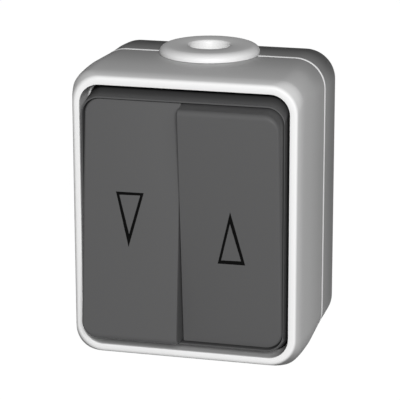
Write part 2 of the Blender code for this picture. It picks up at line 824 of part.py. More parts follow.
def build_screw(name, x, z, head_y, toward, radius, length, head_radius, head_height, colour):
    """Slotless pan screw; toward is +1 when the shank runs towards the wall."""
    edge = head_height * 0.35
    points = (
        (0, -head_height), (head_radius - edge, -head_height), (head_radius, -head_height + edge),
        (head_radius, 0), (radius, 0), (radius, length - radius / 2), (radius / 2, length), (0, length),
    )
    screw = turned(name, [(r, head_y + toward * h) for r, h in points], "Y", (x, 0, z))
    return finish(screw, name, colour, 0.3, 1.0)


def build_support_plate():
    plate = loft("support_plate", [
        (plate_front_y, centred_outline(plate_half_width, plate_half_height, plate_corner_radius)),
        (plate_back_y, centred_outline(plate_half_width, plate_half_height, plate_corner_radius)),
        (plate_back_y, centred_outline(window_half_width, window_half_height, 2 * MM)),
        (plate_front_y, centred_outline(window_half_width, window_half_height, 2 * MM)),
    ], ring_closed=True)
    for sign in (-1, 1):
        cut(plate, rod("hole", screw_hole_radius, plate_front_y - 1 * MM, plate_back_y + 1 * MM, "Y",
                       (sign * insert_screw_offset, 0, 0)))
        cut(plate, rod("hole", rivet_radius + seat / 2, plate_front_y - 1 * MM, plate_back_y + 1 * MM, "Y",
                       (0, 0, sign * rivet_offset)))
        cut(plate, rod("pillar_notch", pillar_radius + plate_notch_clearance, plate_front_y - 1 * MM,
                       plate_back_y + 1 * MM, "Y", (sign * hood_screw_x, 0, -sign * hood_screw_z)))
    return finish(plate, "support_plate", (0.6, 0.6, 0.6), 0.35, 1.0)


def build_block_cover():
    """Cover of the contact block, with a slot for each finger's swing."""
    outline = centred_outline(block_half_width, block_half_height, block_corner_radius, 3)
    cover = loft("block_cover", [(cover_front_y, outline), (cover_back_y, outline)])
    swing = (finger_reach + 2 * MM) * math.sin(tilt) + finger_radius + 0.5 * MM
    side = finger_radius + 0.5 * MM
    for sign in (-1, 1):
        x = sign * actuator_offset
        hole = rounded_outline(x - side, x + side, -swing, swing, (side * 0.9,) * 4)
        cut(cover, loft("slot", [(cover_front_y - 1 * MM, hole), (cover_back_y + 1 * MM, hole)]))
        cut(cover, rod("hole", rivet_radius + seat / 2, cover_front_y - 1 * MM, cover_back_y + 1 * MM, "Y",
                       (0, 0, sign * rivet_offset)))
    return finish(cover, "block_cover", (0.8, 0.8, 0.78), 0.5)


def build_contact_block():
    """Moulded block with two lever wells, a channel for the common bar and three terminal chambers."""
    outline = centred_outline(block_half_width, block_half_height, block_corner_radius, 3)
    body = loft("contact_block", [(block_front_y, outline), (block_back_y, outline)])
    well_half_width = lever_width / 2 + well_clearance
    well_back = well_back_y()
    for sign in (-1, 1):
        x = sign * actuator_offset
        cut(body, block("well", x - well_half_width, x + well_half_width, block_front_y - 1 * MM, well_back,
                        -well_half_height, well_half_height))
    channel = actuator_offset
    cut(body, block("channel", -channel, channel, bar_front_y() - lever_front_offset, well_back - 0.02 * MM,
                    -bar_half_height - seat, bar_half_height + seat))
    side_gap = clamp_half_width + chamber_clearance
    for name, x, side, back in terminal_places():
        inner = terminal_centre - clamp_half_height - chamber_clearance
        front = min(place[3] for place in terminal_places()) - strip_thickness - seat
        cut(body, block("chamber", x - side_gap, x + side_gap, front, block_back_y + 1 * MM,
                        *sorted((side * inner, side * (block_half_height + 1 * MM)))))
        strip_gap = strip_half_width + seat
        cut(body, block("strip_slot", x - strip_gap, x + strip_gap, back - strip_thickness - seat, back + seat,
                        *sorted((side * (well_half_height - 1 * MM), side * (inner + 1 * MM)))))
    for sign in (-1, 1):
        cut(body, rod("hole", rivet_radius + seat / 2, block_front_y - 1 * MM, block_back_y + 1 * MM, "Y",
                      (0, 0, sign * rivet_offset)))
    return finish(body, "contact_block", (0.75, 0.75, 0.72), 0.5)


def build_rivet(sign, name):
    """Rivet that holds the plate, the cover and the block together."""
    front = plate_front_y - seat
    back = block_back_y + seat
    rivet = turned(name, (
        (0, front - rivet_head_height), (rivet_head_radius * 0.6, front - rivet_head_height),
        (rivet_head_radius, front), (rivet_radius, front), (rivet_radius, back),
        (rivet_head_radius, back), (rivet_head_radius * 0.6, back + rivet_head_height),
        (0, back + rivet_head_height),
    ), "Y", (0, 0, sign * rivet_offset))
    return finish(rivet, name, (0.7, 0.6, 0.4), 0.35, 1.0)


def build_frame_seal():
    grow_x = half_w - flange_border - frame_inner_half_w
    grow_z = half_h - flange_border - frame_inner_half_h
    inner = centred_outline(half_w - lip_width + 0.3 * MM, half_h - lip_width + 0.3 * MM,
                            opening_radius - lip_width + 0.3 * MM)
    outer = frame_outline(grow_x, grow_z)
    seal = loft("frame_seal", [
        (seal_front_y, outer), (seal_back_y, outer), (seal_back_y, inner), (seal_front_y, inner),
    ], ring_closed=True)
    return finish(seal, "frame_seal", (0.03, 0.03, 0.03), 0.8)


clear_scene()
build_base_box()
build_hood()
build_housing_seal()
build_grommet()
build_fixing_seal(1, "fixing_seal_upper")
build_fixing_seal(-1, "fixing_seal_lower")
build_rocker_frame()
build_frame_seal()
build_axle()
for side_sign, side_name in ((-1, "left"), (1, "right")):
    build_rocker(side_sign, "rocker_" + side_name)
    build_plunger(side_sign, "plunger_" + side_name)
    build_plunger_spring(side_sign, "plunger_spring_" + side_name)
    build_contact_lever(side_sign, "contact_lever_" + side_name)
    build_fixed_contact(side_sign, "fixed_contact_" + side_name)
build_support_plate()
build_block_cover()
build_contact_block()
build_common_bar()
for terminal_name, terminal_x, terminal_side, terminal_back in terminal_places():
    build_clamp("clamp_" + terminal_name, terminal_x, terminal_side)
    build_screw("terminal_screw_" + terminal_name, terminal_x, terminal_side * terminal_centre,
                clamp_front_y() + clamp_depth + seat, -1, terminal_screw_radius, terminal_screw_length,
                terminal_head_radius, terminal_head_height, (0.7, 0.65, 0.5))
build_rivet(1, "rivet_upper")
build_rivet(-1, "rivet_lower")
for screw_sign, screw_side in ((-1, "left"), (1, "right")):
    build_screw("insert_screw_" + screw_side, screw_sign * insert_screw_offset, 0.0, plate_front_y - seat, 1,
                screw_radius, screw_length, screw_head_radius, screw_head_height, (0.65, 0.65, 0.65))
    build_screw("hood_screw_" + screw_side, screw_sign * hood_screw_x, -screw_sign * hood_screw_z,
                lip_front_y - seat, 1, screw_radius, screw_length + lip_thickness, screw_head_radius,
                screw_head_height, (0.65, 0.65, 0.65))
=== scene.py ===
"""Looks of a surface-mounted roller shutter switch with two latching rockers."""
import math

import bmesh
import bpy
from mathutils import Matrix, Vector


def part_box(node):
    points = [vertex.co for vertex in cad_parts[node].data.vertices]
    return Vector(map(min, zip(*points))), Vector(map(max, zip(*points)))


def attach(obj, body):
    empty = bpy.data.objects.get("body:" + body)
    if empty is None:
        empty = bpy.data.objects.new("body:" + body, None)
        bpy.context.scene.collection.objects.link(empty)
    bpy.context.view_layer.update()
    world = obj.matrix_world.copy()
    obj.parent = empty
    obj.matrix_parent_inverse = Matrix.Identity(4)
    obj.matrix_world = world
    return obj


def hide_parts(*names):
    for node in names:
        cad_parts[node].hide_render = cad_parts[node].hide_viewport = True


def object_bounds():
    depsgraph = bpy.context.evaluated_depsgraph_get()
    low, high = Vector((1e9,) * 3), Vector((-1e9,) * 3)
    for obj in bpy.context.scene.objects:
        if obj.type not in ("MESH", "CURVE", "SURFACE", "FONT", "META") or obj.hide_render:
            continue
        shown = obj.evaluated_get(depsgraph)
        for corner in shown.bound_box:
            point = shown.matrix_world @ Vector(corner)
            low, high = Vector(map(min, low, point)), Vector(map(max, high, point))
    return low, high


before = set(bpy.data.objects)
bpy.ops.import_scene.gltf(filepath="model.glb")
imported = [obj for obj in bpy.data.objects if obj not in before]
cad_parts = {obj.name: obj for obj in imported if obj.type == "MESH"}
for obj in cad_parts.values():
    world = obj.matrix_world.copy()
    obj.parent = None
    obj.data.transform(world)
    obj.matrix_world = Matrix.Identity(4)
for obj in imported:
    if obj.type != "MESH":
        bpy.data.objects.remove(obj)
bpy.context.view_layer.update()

MM = 0.001
TAU = math.tau

# Housing: the opening is given by its width, height and corner radius, the flank by its offset from the
# opening in mm at shares of the depth from the front, and the hood's screws by their X and Z in mm
OPENING = (58.7 * MM, 74.6 * MM, 5.8 * MM)
DEPTH = 44.2 * MM
SPLIT_Y = -14.9 * MM
RIM_Y = -DEPTH
WALL = 2.2 * MM
BACK_WALL = 2.4 * MM
WIDEST = 3.6
SIDE_PROFILE = (
    (0.0, 1.45), (0.004, 1.85), (0.012, 2.15), (0.04, 2.62), (0.08, 2.98), (0.13, 3.20), (0.20, 3.38),
    (0.30, 3.50), (0.50, 3.58), (0.663, 3.60), (0.85, 3.60), (0.95, 3.35), (0.985, 3.20), (1.0, 2.90),
)
SPLIT_HALF_GAP = 0.3 * MM
SPLIT_CLEARANCE = 0.08 * MM
SPLIT_TIGHT = 0.9 * MM
LIP_FRONT_Y = RIM_Y + 8.6 * MM
LIP_BACK_Y = LIP_FRONT_Y + 2.0 * MM
LIP_REACH = 2.2 * MM
ENTRY_NOTCH = 9.7 * MM
HOOD_SCREW = (20.6, 28.9)

# Rockers and their collar, given by its left and right edge, half height and corner radius
TILT = math.radians(5.2)
ROCKER_HALF = 33.65 * MM
ROCKER_OUTER = {-1: 27.5 * MM, 1: 28.25 * MM}
ROCKER_SPLIT = 0.08 * MM
ROCKER_FACE = 4.6 * MM
ROCKER_CORNER = 4.6 * MM
COLLAR_INNER = (-27.7 * MM, 28.4 * MM, 34.0 * MM, 4.8 * MM)
SIDE_PLATE = 1.5 * MM
FINGER_X = 9 * MM
LEAST_RADIUS = 0.3 * MM

# Smooth shading breaks at edges sharper than this angle in degrees
SHARP = 32.0

# Studio: lamps are given by name, place, diameter and power, and all point at the switch
WORLD_LIGHT = 0.05
LAMPS = (
    ("main_light", (0.62, -2.05, 0.8), 0.6, 54.5),
    ("near_corner_light", (0.12, -0.19, 0.15), 0.08, 0.04),
    ("back_light", (-1.0, 2.0, 0.0), 0.4, 18.0),
)
FOCAL_PIXELS = 2197.87
PICTURE_PIXELS = 400.0
CAMERA_PLACE = (150.67 * MM, RIM_Y - 553.88 * MM, 172.47 * MM)
CAMERA_AIM = (4.626 * MM, RIM_Y, 6.618 * MM)
CAMERA_ROLL = -0.002383


def smooth_offset(share):
    """Flank's offset from the opening's edge at a share of the depth, as a smooth curve."""
    points = SIDE_PROFILE
    slopes = []
    for i in range(len(points)):
        a = points[max(i - 1, 0)]
        b = points[min(i + 1, len(points) - 1)]
        slopes.append((b[1] - a[1]) / (b[0] - a[0]))
    for i in range(len(points) - 1):
        (s0, o0), (s1, o1) = points[i], points[i + 1]
        if s0 <= share <= s1:
            h = s1 - s0
            t = (share - s0) / h
            offset = (
                o0 * (2 * t ** 3 - 3 * t ** 2 + 1) + slopes[i] * h * (t ** 3 - 2 * t ** 2 + t)
                + o1 * (3 * t ** 2 - 2 * t ** 3) + slopes[i + 1] * h * (t ** 3 - t ** 2)
            )
            return MM * min(offset, WIDEST)
    return points[-1][1] * MM


def outline(x0, x1, z0, z1, radii, steps=16):
    """Corner-rounded rectangle in X and Z, anticlockwise from the right-hand side."""
    corners = ((x1, z1, -1, -1, 0), (x0, z1, 1, -1, 90), (x0, z0, 1, 1, 180), (x1, z0, -1, 1, 270))
    points = []
    for (x, z, sx, sz, start), r in zip(corners, radii):
        for k in range(steps + 1):
            a = math.radians(start + 90 * k / steps)
            points.append((x + sx * r + r * math.cos(a), z + sz * r + r * math.sin(a)))
    return points


def opening_outline(offset, tight=0.0):
    """Outline at an even offset round the opening."""
    return lopsided_outline(offset, offset, offset, offset, tight)


def lopsided_outline(left, right, low, high, tight=0.0):
    """Outline round the opening with its own offset on each side; tight makes the corners fuller."""
    w, h, r = OPENING
    ends = (min(right, high), min(left, high), min(left, low), min(right, low))
    radii = tuple(max(r + e - tight, LEAST_RADIUS) for e in ends)
    return outline(-w / 2 - left, w / 2 + right, -h / 2 - low, h / 2 + high, radii)


def collar_outline(grow_x, grow_z):
    """Outline of the collar, grown sideways and lengthways."""
    x0, x1, z, r = COLLAR_INNER
    return outline(x0 - grow_x, x1 + grow_x, -z - grow_z, z + grow_z, (r + min(grow_x, grow_z),) * 4)


def shade(mesh, sharp=SHARP):
    """Shade a mesh smoothly up to its sharp edges."""
    mesh.shade_smooth()
    mesh.set_sharp_from_angle(angle=math.radians(sharp))


def to_object(name, bm, sharp=SHARP):
    """Make a mesh object at the origin with outward faces and smooth rounds."""
    bmesh.ops.remove_doubles(bm, verts=bm.verts, dist=1e-7)
    bmesh.ops.recalc_face_normals(bm, faces=bm.faces)
    mesh = bpy.data.meshes.new(name)
    bm.to_mesh(mesh)
    bm.free()
    made = bpy.data.objects.new(name, mesh)
    bpy.context.scene.collection.objects.link(made)
    shade(mesh, sharp)
    return made


def loft(name, sections, ring_closed=False, sharp=SHARP):
    """Skin through outlines at given Y places; sections are (y, outline)."""
    bm = bmesh.new()
    rings = [[bm.verts.new((x, y, z)) for x, z in points] for y, points in sections]
    pairs = list(zip(rings, rings[1:])) + ([(rings[-1], rings[0])] if ring_closed else [])
    for first, second in pairs:
        n = len(first)
        for k in range(n):
            bm.faces.new((first[k], first[(k + 1) % n], second[(k + 1) % n], second[k]))
    if not ring_closed:
        bm.faces.new(rings[0])
        bm.faces.new(list(reversed(rings[-1])))
    return to_object(name, bm, sharp)


def turned(name, profile, centre=(0, 0, 0), axis="Z", steps=96, sharp=SHARP):
    """Turn (radius, height) points about an axis; a profile that starts off the axis is a ring."""
    bm = bmesh.new()
    rings = []
    for radius, height in profile:
        count = steps if radius > 0 else 1
        rings.append([
            bm.verts.new((radius * math.cos(TAU * k / count), radius * math.sin(TAU * k / count), height))
            for k in range(count)
        ])
    pairs = list(zip(rings, rings[1:])) + ([(rings[-1], rings[0])] if profile[0][0] > 0 else [])
    for first, second in pairs:
        for k in range(steps):
            corners = []
            for ring, index in ((first, k), (first, k + 1), (second, k + 1), (second, k)):
                vert = ring[index % len(ring)]
                if vert not in corners:
                    corners.append(vert)
            bm.faces.new(corners)
    turn = {
        "X": Matrix.Rotation(math.pi / 2, 4, "Y"),
        "Y": Matrix.Rotation(-math.pi / 2, 4, "X"),
        "Z": Matrix(),
    }
    bmesh.ops.transform(bm, matrix=Matrix.Translation(Vector(centre)) @ turn[axis], verts=bm.verts)
    return to_object(name, bm, sharp)


def bake(piece):
    """Turn a piece's live modifiers into its plain mesh."""
    graph = bpy.context.evaluated_depsgraph_get()
    graph.update()
    fresh = bpy.data.meshes.new_from_object(piece.evaluated_get(graph))
    piece.modifiers.clear()
    piece.data = fresh


def carve(piece, tool, operation="DIFFERENCE"):
    """Cut a tool out of a piece, or join it on, and drop the tool."""
    change = piece.modifiers.new("carve", "BOOLEAN")
    change.operation = operation
    change.object = tool
    bake(piece)
    bpy.data.objects.remove(tool, do_unlink=True)
    shade(piece.data)


def dress(piece, finish, body, *nodes):
    """Give a finished piece its material and body, and let it stand for its solids."""
    piece.data.materials.clear()
    piece.data.materials.append(finish)
    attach(piece, body)
    if nodes:
        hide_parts(*nodes)


class Signal:
    """Output of a node; arithmetic on one that carries a number adds Math nodes."""

    def __init__(self, bench, socket):
        self.bench = bench
        self.socket = socket

    def reckon(self, operation, *values):
        """Add a Math node on the values."""
        return self.bench.add("ShaderNodeMath", {"operation": operation}, *values)

    def __add__(self, other):
        return self.reckon("ADD", self, other)

    __radd__ = __add__

    def __sub__(self, other):
        return self.reckon("SUBTRACT", self, other)

    def __rsub__(self, other):
        return self.reckon("SUBTRACT", other, self)

    def __mul__(self, other):
        return self.reckon("MULTIPLY", self, other)

    __rmul__ = __mul__

    def __truediv__(self, other):
        return self.reckon("DIVIDE", self, other)

    def __pow__(self, other):
        return self.reckon("POWER", self, other)

    def __abs__(self):
        return self.reckon("ABSOLUTE", self)

    def larger(self, other):
        """The larger of two numbers."""
        return self.reckon("MAXIMUM", self, other)

    def ramp(self, low, high):
        """0 below low, 1 above high and smooth between."""
        smooth = {"interpolation_type": "SMOOTHSTEP"}
        return self.bench.add("ShaderNodeMapRange", smooth, self, low, high, 0.0, 1.0)


class Bench:
    """A node tree under construction, whose nodes are added by one method."""

    def add(self, kind, settings, *values, output=0, **named):
        """Add a node, set it up and return one of its outputs, or None for a node without outputs."""
        node = self.tree.nodes.new(kind)
        for key, value in settings.items():
            setattr(node, key, value)
        for slot, value in list(enumerate(values)) + list(named.items()):
            key = slot.replace("_", " ") if isinstance(slot, str) else slot
            socket = node.inputs[key]
            if isinstance(value, Signal):
                self.tree.links.new(value.socket, socket)
            elif isinstance(value, list):
                for each in reversed(value):
                    self.tree.links.new(each.socket, socket)
            else:
                socket.default_value = value
        return Signal(self, node.outputs[output]) if node.outputs else None


class Backdrop(Bench):
    """The node tree of the floor's material or of the surroundings, emptied."""

    def __init__(self, owner):
        owner.use_nodes = True
        self.tree = owner.node_tree
        self.tree.nodes.clear()

    def ray(self, kind):
        """1 for light rays of one kind and 0 for others."""
        return self.add("ShaderNodeLightPath", {}, output=kind)


class Board(Bench):
    """A material under construction."""

    def __init__(self, name):
        self.material = bpy.data.materials.new(name)
        self.material.use_nodes = True
        self.tree = self.material.node_tree
        self.tree.nodes.clear()
        self.places = self.add("ShaderNodeTexCoord", {}, output="Object")

    def noise(self, scale, detail, roughness=0.5):
        """Even noise through the piece; the scale is per metre."""
        return self.add("ShaderNodeTexNoise", {}, Vector=self.places, Scale=scale, Detail=detail,
                        Roughness=roughness)

    def stretched_noise(self, stretch, detail):
        """Noise drawn out along one axis; stretch gives the scale along X, Y and Z."""
        places = self.add("ShaderNodeMapping", {}, Vector=self.places, Scale=stretch)
        return self.add("ShaderNodeTexNoise", {}, Vector=places, Scale=1.0, Detail=detail)

    def blend_colours(self, share, first, second):
        """Mix two colours by a number."""
        node = self.tree.nodes.new("ShaderNodeMix")
        node.data_type = "RGBA"
        self.tree.links.new(share.socket, node.inputs["Factor"])
        node.inputs[6].default_value = (*first, 1.0)
        node.inputs[7].default_value = (*second, 1.0)
        return Signal(self, node.outputs[2])

    def clouded(self, colour, clouds, speck):
        """Spread a colour a little by its flow clouds and its grain."""
        share = 0.5 + 0.1 * (clouds - 0.5) + 0.06 * (speck - 0.5)
        darker = tuple(c * 0.94 for c in colour)
        lighter = tuple(min(c * 1.06, 1.0) for c in colour)
        return self.blend_colours(share, darker, lighter)

    def place(self, axis):
        """Place along X, Y or Z, in metres."""
        return self.add("ShaderNodeSeparateXYZ", {}, self.places, output=axis)

    def depth_from_front(self):
        """Depth behind the rim, in metres."""
        return self.place("Y") - RIM_Y

    def outside_the_rim(self):
        """1 on the outer flanks of the lower half and 0 within the rim; it bounds the painted shade near the
        floor.

        It starts about 0.8 mm outside the opening on the sides and below, with its corners cut off.
        """
        across, height = abs(self.place("X")), self.place("Z")
        beside = across - 30.2 * MM
        below = -38.1 * MM - height
        past_corner = across - height - 65.6 * MM
        return beside.larger(below).larger(past_corner).ramp(0.0, 0.5 * MM)

    def dimmed(self, colour, strength):
        """Scale a colour by a number."""
        grey = self.add("ShaderNodeCombineXYZ", {}, strength, strength, strength)
        return self.add("ShaderNodeVectorMath", {"operation": "MULTIPLY"}, colour, grey)

    def bump(self, height, strength, distance):
        """Fine relief that follows a number."""
        return self.add("ShaderNodeBump", {}, Height=height, Strength=strength, Distance=distance,
                        output="Normal")

    def close(self, colour, roughness, normal=None, metallic=0.0, specular=0.5):
        """End in the Principled shader."""
        wired = {"Base_Color": colour, "Roughness": roughness}
        if normal:
            wired["Normal"] = normal
        shader = self.add("ShaderNodeBsdfPrincipled", {}, **wired, Metallic=metallic,
                          Specular_IOR_Level=specular)
        self.add("ShaderNodeOutputMaterial", {}, shader)
        return self.material


class Recipe(Bench):
    """A Geometry Nodes tree with named sizes that makes a repeated piece at given places."""

    def __init__(self, name, **sizes):
        self.tree = bpy.data.node_groups.new(name, "GeometryNodeTree")
        self.tree.interface.new_socket("Places", in_out="INPUT", socket_type="NodeSocketGeometry")
        self.tree.interface.new_socket("Pieces", in_out="OUTPUT", socket_type="NodeSocketGeometry")
        self.keys = {}
        for size, value in sizes.items():
            label = size.replace("_", " ").capitalize()
            socket = self.tree.interface.new_socket(label, in_out="INPUT", socket_type="NodeSocketFloat")
            socket.default_value = value
            self.keys[size] = socket.identifier
        entry = self.tree.nodes.new("NodeGroupInput")
        self.places = Signal(self, entry.outputs[0])
        self.sizes = {size: Signal(self, entry.outputs[k + 1]) for k, size in enumerate(sizes)}

    def vector(self, x=0.0, y=0.0, z=0.0):
        """Join three numbers into a vector."""
        return self.add("ShaderNodeCombineXYZ", {}, x, y, z)

    def lifted(self, shape, height):
        """Move a shape along Z."""
        return self.add("GeometryNodeTransform", {}, Geometry=shape, Translation=self.vector(z=height))

    def repeat(self, shape, turn, finish):
        """End in the turned shape at every place, as plain mesh with its material."""
        copies = self.add("GeometryNodeInstanceOnPoints", {}, Points=self.places, Instance=shape,
                          Rotation=turn)
        plain = self.add("GeometryNodeRealizeInstances", {}, Geometry=copies)
        coated = self.add("GeometryNodeSetMaterial", {}, Geometry=plain, Material=finish)
        leave = self.tree.nodes.new("NodeGroupOutput")
        self.tree.links.new(coated.socket, leave.inputs[0])

    def make(self, name, places, sizes):
        """Run the tree on points at the places, with its sizes by name, and return a finished mesh object."""
        seeds = bpy.data.meshes.new(name + "_places")
        seeds.from_pydata([tuple(place) for place in places], [], [])
        carrier = bpy.data.objects.new(name + "_places", seeds)
        bpy.context.scene.collection.objects.link(carrier)
        change = carrier.modifiers.new("recipe", "NODES")
        change.node_group = self.tree
        for size, value in sizes.items():
            change[self.keys[size]] = value
        graph = bpy.context.evaluated_depsgraph_get()
        graph.update()
        mesh = bpy.data.meshes.new_from_object(carrier.evaluated_get(graph))
        carrier.modifiers.clear()
        bpy.data.objects.remove(carrier, do_unlink=True)
        bm = bmesh.new()
        bm.from_mesh(mesh)
        return to_object(name, bm)


def moulded_plastic(name, colour, roughness, grain, grain_height=0.00004, specular=0.5, painted_depth_shade=()):
    """Moulded thermoplastic: fine spark-eroded grain, faint flow clouds and slight gloss changes.

    The depth entries give pairs of depths, each with the share of the colour that is left from the second on:
    painted shade along the depth. A plastic with such entries also gets painted shade near the floor.
    """
    board = Board(name)
    clouds = board.noise(38.0, 3.0)
    speck = board.noise(grain, 2.0, 0.6)
    base = board.clouded(colour, clouds, speck)
    depth = board.depth_from_front()
    # painted shade: the colour darkens in steps along the depth behind the rim
    for front, back, left in painted_depth_shade:
        base = board.dimmed(base, 1 - (1 - left) * depth.ramp(front, back))
    # painted shade near the floor on the lower outer flanks, outside the rim
    if painted_depth_shade:
        near_floor = 1 - board.place("Z").ramp(-40.0 * MM, -31.5 * MM)
        painted_floor_shade = near_floor * board.outside_the_rim() * depth.ramp(0.1 * MM, 1.0 * MM)
        base = board.dimmed(base, 1 - 0.85 * painted_floor_shade)
    gloss = roughness + 0.08 * (clouds - 0.5) + 0.1 * (speck - 0.5)
    return board.close(base, gloss, board.bump(speck, 0.25, grain_height), specular=specular)


def shaded_plastic(name, colour):
    """Dark plastic of the collar, with painted shade where its walls run down into the recess and on its
    right side.
    """
    board = Board(name)
    clouds = board.noise(38.0, 3.0)
    speck = board.noise(3600.0, 2.0, 0.6)
    base = board.clouded(colour, clouds, speck)
    depth = board.depth_from_front()
    # painted shade: darker deeper in the recess, towards the back, and on the collar's right outer wall
    recess_shade = 1 - depth.ramp(1.9 * MM, 3.3 * MM)
    front_to_back_shade = 1 - 0.42 * depth.ramp(-2.5 * MM, 2.7 * MM)
    right_wall_shade = 1 - 0.7 * board.place("X").ramp(28.5 * MM, 28.75 * MM)
    base = board.dimmed(base, recess_shade * front_to_back_shade * right_wall_shade)
    gloss = 0.6 + 0.08 * (clouds - 0.5) + 0.1 * (speck - 0.5)
    return board.close(base, gloss, board.bump(speck, 0.25, 0.00003), specular=0.12)


def soft_rubber(name, colour, roughness=0.75):
    """Matt rubber with a dusty bloom."""
    board = Board(name)
    bloom = board.noise(120.0, 4.0).ramp(0.45, 0.75)
    pores = board.noise(5200.0, 2.0)
    dusty = tuple(min(c * 1.5 + 0.01, 1.0) for c in colour)
    base = board.blend_colours(0.25 * bloom, colour, dusty)
    return board.close(base, roughness + 0.1 * bloom, board.bump(pores, 0.2, 0.00003))


def rolled_metal(name, colour, roughness, stretch):
    """Rolled or plated metal with fine lines along the sheet and faint stains."""
    board = Board(name)
    lines = board.stretched_noise(stretch, 3.0)
    stains = board.noise(160.0, 3.0).ramp(0.35, 0.7)
    base = board.blend_colours(stains, colour, tuple(c * 0.86 for c in colour))
    gloss = roughness + 0.18 * (lines - 0.5) + 0.08 * stains
    return board.close(base, gloss, board.bump(lines, 0.15, 0.00002), metallic=1.0)


def printed_ink(name):
    """Pad-printed black ink with slightly uneven cover."""
    board = Board(name)
    cover = board.noise(1800.0, 3.0)
    base = board.blend_colours(cover, (0.001, 0.001, 0.001), (0.003, 0.003, 0.003))
    return board.close(base, 0.8 + 0.2 * (cover - 0.5), specular=0.06)


# painted shade: the hood's flanks are a step darker than the rim just behind it and darken further towards
# the back
housing_plastic = moulded_plastic("housing_plastic", (0.78, 0.78, 0.78), 0.55, 2600.0,
                                  painted_depth_shade=((0.1 * MM, 0.9 * MM, 0.72), (9.0 * MM, 29.0 * MM, 0.7)))
# painted shade: the base's darker grey carries on the hood's painted darkening, and it darkens further
# towards the back except on its back face
base_plastic = moulded_plastic("base_plastic", (0.3, 0.3, 0.3), 0.55, 2600.0,
                               painted_depth_shade=((28.5 * MM, 42.0 * MM, 0.42), (43.4 * MM, 44.1 * MM, 2.3)))
seal_pale = soft_rubber("seal_pale", (0.8, 0.8, 0.8), 0.65)
entry_plastic = moulded_plastic("entry_plastic", (0.74, 0.74, 0.74), 0.5, 3000.0)
rocker_plastic = moulded_plastic("rocker_plastic", (0.084, 0.084, 0.085), 0.6, 3600.0, 0.00003, 0.2)
collar_plastic = shaded_plastic("collar_plastic", (0.08, 0.08, 0.081))
black_rubber = soft_rubber("black_rubber", (0.02, 0.02, 0.02))
insert_plastic = moulded_plastic("insert_plastic", (0.7, 0.7, 0.68), 0.45, 2400.0)
plunger_plastic = moulded_plastic("plunger_plastic", (0.74, 0.7, 0.62), 0.35, 3000.0)
zinc_steel = rolled_metal("zinc_steel", (0.62, 0.62, 0.63), 0.35, (300.0, 300.0, 5200.0))
black_steel = rolled_metal("black_steel", (0.07, 0.07, 0.072), 0.6, (300.0, 300.0, 5200.0))
contact_brass = rolled_metal("contact_brass", (0.78, 0.6, 0.3), 0.3, (4200.0, 300.0, 300.0))
arrow_ink = printed_ink("arrow_ink")


def hat(share, peak, reach):
    """1 at the peak, falling evenly to 0 at the reach on both sides."""
    return max(0.0, 1 - abs(share - peak) / reach)


def flank(share):
    """Outer outline of the housing at a share of its depth.

    The left shoulder is a little slimmer, the right side fuller near the back, and the corners are fuller
    from just behind the rim until they ease off towards the back.
    """
    offset = smooth_offset(share)
    slim = 0.2 * MM * hat(share, 0.06, 0.1)
    full = min(offset + 0.3 * MM * hat(share, 0.985, 0.12), 3.57 * MM)
    growing = min(max((share - 0.008) / 0.06, 0.0), 1.0)
    easing = min(max((0.80 - share) / 0.45, 0.25), 1.0)
    return lopsided_outline(offset - slim, max(offset, full), offset, offset, 2.5 * MM * growing * easing)


def shell_sections(from_share, to_share, count):
    """Outer outlines of the housing over a stretch of its depth."""
    shares = [from_share + (to_share - from_share) * k / count for k in range(count + 1)]
    shares += [s for s, _ in SIDE_PROFILE if from_share < s < to_share]
    return [(-DEPTH * (1 - s), flank(s)) for s in sorted(set(shares))]


def entry_tool():
    """Upright cylinder that cuts the cable entry out of the top wall."""
    low, high = 34 * MM, 46 * MM
    profile = ((0, low), (ENTRY_NOTCH, low), (ENTRY_NOTCH, high), (0, high))
    return turned("entry_tool", profile, (0, SPLIT_Y, 0))


def make_hood():
    """Front shell with its flat rim, the recess round the rockers and the lip inside it."""
    back_y = SPLIT_Y - SPLIT_HALF_GAP - SPLIT_CLEARANCE
    outer = 3.57 * MM
    inner = outer - WALL
    share = 1 + back_y / DEPTH
    last = smooth_offset(share)
    flank_front, flank_back = RIM_Y + 0.4 * MM, back_y - 1.6 * MM
    tight = SPLIT_TIGHT
    sections = [
        (RIM_Y, lopsided_outline(1.2 * MM, 1.6 * MM, 1.2 * MM, 1.3 * MM)),
        (RIM_Y + 0.05 * MM, lopsided_outline(1.42 * MM, 1.82 * MM, 1.42 * MM, 1.54 * MM)),
        (RIM_Y + 0.2 * MM, lopsided_outline(1.62 * MM, 2.0 * MM, 1.78 * MM, 1.82 * MM)),
    ]
    sections += [(y, points) for y, points in shell_sections(0.0, share, 26) if flank_front < y < flank_back]
    sections += [
        (back_y - 0.7 * MM, lopsided_outline(last, last - 0.06 * MM, last, last - 0.03 * MM, tight)),
        (back_y - 0.3 * MM, lopsided_outline(last, last - 0.14 * MM, last, last - 0.08 * MM, tight)),
        (back_y, opening_outline(last - 0.4 * MM, tight)),
        (back_y, opening_outline(inner)),
        (LIP_BACK_Y, opening_outline(inner)),
        (LIP_BACK_Y, opening_outline(-LIP_REACH)),
        (LIP_FRONT_Y, opening_outline(-LIP_REACH)),
        (LIP_FRONT_Y, opening_outline(0.0)),
        (RIM_Y + 1.2 * MM, lopsided_outline(0, 0, 0, -0.1 * MM)),
        (RIM_Y + 0.12 * MM, lopsided_outline(0, 0, 0, -0.24 * MM)),
        (RIM_Y + 0.035 * MM, lopsided_outline(0.035 * MM, 0.035 * MM, 0.035 * MM, -0.2 * MM)),
        (RIM_Y, lopsided_outline(0.12 * MM, 0.12 * MM, 0.12 * MM, -0.12 * MM)),
    ]
    hood = loft("hood_shell", sections, ring_closed=True)
    hole, reach = 1.7 * MM, 3.9 * MM
    front, back = LIP_FRONT_Y + 0.05 * MM, LIP_BACK_Y - 0.05 * MM
    for sign in (-1, 1):
        place = (sign * HOOD_SCREW[0] * MM, 0, -sign * HOOD_SCREW[1] * MM)
        ear = turned("ear", ((hole, front), (reach, front), (reach, back), (hole, back)), place, "Y", 48)
        carve(hood, ear, "UNION")
    carve(hood, entry_tool())
    dress(hood, housing_plastic, "housing", "hood")


